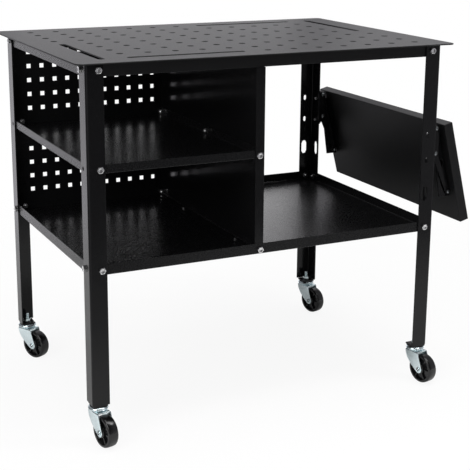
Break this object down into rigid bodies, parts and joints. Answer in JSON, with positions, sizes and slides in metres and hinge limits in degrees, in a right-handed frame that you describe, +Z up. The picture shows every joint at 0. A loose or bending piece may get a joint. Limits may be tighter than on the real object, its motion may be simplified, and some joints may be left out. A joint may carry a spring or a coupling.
{
  "type": "folding work table",
  "caption": "Mobile steel work table with a perforated top, shelf and pegboards in one bay, a tray below, a folding side leaf on slotted brackets, and swivel casters.",
  "frame": {"origin": "middle of the bounding box, on the floor", "axes": "+X to the right, towards the folding leaf; +Y to the back; +Z up"},
  "size_m": [0.9886, 0.6524, 0.8288],
  "materials": {
    "black_powder_coat": "semi-gloss fine-texture black powder coat",
    "bright_zinc": "bright zinc plate",
    "black_wheel_plastic": "moulded black plastic"
  },
  "bodies": {
    "table_frame": {"bottom_tray": "black_powder_coat", "divider_panel": "black_powder_coat", "front_hinge_pin": "bright_zinc", "front_left_caster_stem": "bright_zinc", "front_left_foot_plate": "black_powder_coat", "front_left_leg": "black_powder_coat", "front_left_stem_nut": "bright_zinc", "front_rail": "black_powder_coat", "front_right_caster_stem": "bright_zinc", "front_right_foot_plate": "black_powder_coat", "front_right_leg": "black_powder_coat", "front_right_stem_nut": "bright_zinc", "front_strut_pin": "bright_zinc", "front_wall_bracket": "black_powder_coat", "left_rail": "black_powder_coat", "lower_pegboard": "black_powder_coat", "mid_shelf": "black_powder_coat", "rear_hinge_pin": "bright_zinc", "rear_left_caster_stem": "bright_zinc", "rear_left_foot_plate": "black_powder_coat", "rear_left_leg": "black_powder_coat", "rear_left_stem_nut": "bright_zinc", "rear_rail": "black_powder_coat", "rear_right_caster_stem": "bright_zinc", "rear_right_foot_plate": "black_powder_coat", "rear_right_leg": "black_powder_coat", "rear_right_stem_nut": "bright_zinc", "rear_strut_pin": "bright_zinc", "rear_wall_bracket": "black_powder_coat", "right_rail": "black_powder_coat", "tabletop_plate": "black_powder_coat", "upper_pegboard": "black_powder_coat"},
    "leaf": {"leaf_tray": "black_powder_coat", "front_leaf_arm": "black_powder_coat", "rear_leaf_arm": "black_powder_coat"},
    "front_strut_body": {"front_strut": "black_powder_coat", "front_slot_pin": "bright_zinc"},
    "rear_strut_body": {"rear_strut": "black_powder_coat", "rear_slot_pin": "bright_zinc"},
    "front_left_swivel": {"front_left_caster_fork": "bright_zinc", "front_left_caster_axle": "bright_zinc"},
    "front_left_roller": {"front_left_caster_wheel": "black_wheel_plastic"},
    "front_right_swivel": {"front_right_caster_fork": "bright_zinc", "front_right_caster_axle": "bright_zinc"},
    "front_right_roller": {"front_right_caster_wheel": "black_wheel_plastic"},
    "rear_left_swivel": {"rear_left_caster_fork": "bright_zinc", "rear_left_caster_axle": "bright_zinc"},
    "rear_left_roller": {"rear_left_caster_wheel": "black_wheel_plastic"},
    "rear_right_swivel": {"rear_right_caster_fork": "bright_zinc", "rear_right_caster_axle": "bright_zinc"},
    "rear_right_roller": {"rear_right_caster_wheel": "black_wheel_plastic"}
  },
  "joints": [
    {"name": "leaf_fold", "type": "hinge", "parent": "table_frame", "child": "leaf", "pos_m": [0.3992, 0.01118, 0.6251], "axis": [0, -1, 0], "range_deg": [0, 75.5]},
    {"name": "front_strut_fold", "type": "hinge", "parent": "table_frame", "child": "front_strut_body", "pos_m": [0.3992, -0.25432, 0.5651], "axis": [0, -1, 0], "range_deg": [0, 101.52]},
    {"name": "rear_strut_fold", "type": "hinge", "parent": "table_frame", "child": "rear_strut_body", "pos_m": [0.3992, 0.27668, 0.5651], "axis": [0, -1, 0], "range_deg": [0, 101.52]},
    {"name": "front_left_caster_turn", "type": "hinge", "parent": "table_frame", "child": "front_left_swivel", "pos_m": [-0.4508, -0.26182, 0.0855], "axis": [0, 0, 1], "continuous": true},
    {"name": "front_left_wheel_spin", "type": "hinge", "parent": "front_left_swivel", "child": "front_left_roller", "pos_m": [-0.44477, -0.29018, 0.035], "axis": [0.9781, 0.2079, 0], "continuous": true},
    {"name": "front_right_caster_turn", "type": "hinge", "parent": "table_frame", "child": "front_right_swivel", "pos_m": [0.3692, -0.26182, 0.0855], "axis": [0, 0, 1], "continuous": true},
    {"name": "front_right_wheel_spin", "type": "hinge", "parent": "front_right_swivel", "child": "front_right_roller", "pos_m": [0.37523, -0.29018, 0.035], "axis": [0.9781, 0.2079, 0], "continuous": true},
    {"name": "rear_left_caster_turn", "type": "hinge", "parent": "table_frame", "child": "rear_left_swivel", "pos_m": [-0.4508, 0.28418, 0.0855], "axis": [0, 0, 1], "continuous": true},
    {"name": "rear_left_wheel_spin", "type": "hinge", "parent": "rear_left_swivel", "child": "rear_left_roller", "pos_m": [-0.4363, 0.25907, 0.035], "axis": [0.866, 0.5, 0], "continuous": true},
    {"name": "rear_right_caster_turn", "type": "hinge", "parent": "table_frame", "child": "rear_right_swivel", "pos_m": [0.3692, 0.28418, 0.0855], "axis": [0, 0, 1], "continuous": true},
    {"name": "rear_right_wheel_spin", "type": "hinge", "parent": "rear_right_swivel", "child": "rear_right_roller", "pos_m": [0.3767, 0.25617, 0.035], "axis": [0.9659, 0.2588, 0], "continuous": true}
  ],
  "couplings": [
    {"joint": "front_strut_fold", "follows": "leaf_fold", "ratio": 1.3446},
    {"joint": "rear_strut_fold", "follows": "leaf_fold", "ratio": 1.3446}
  ]
}
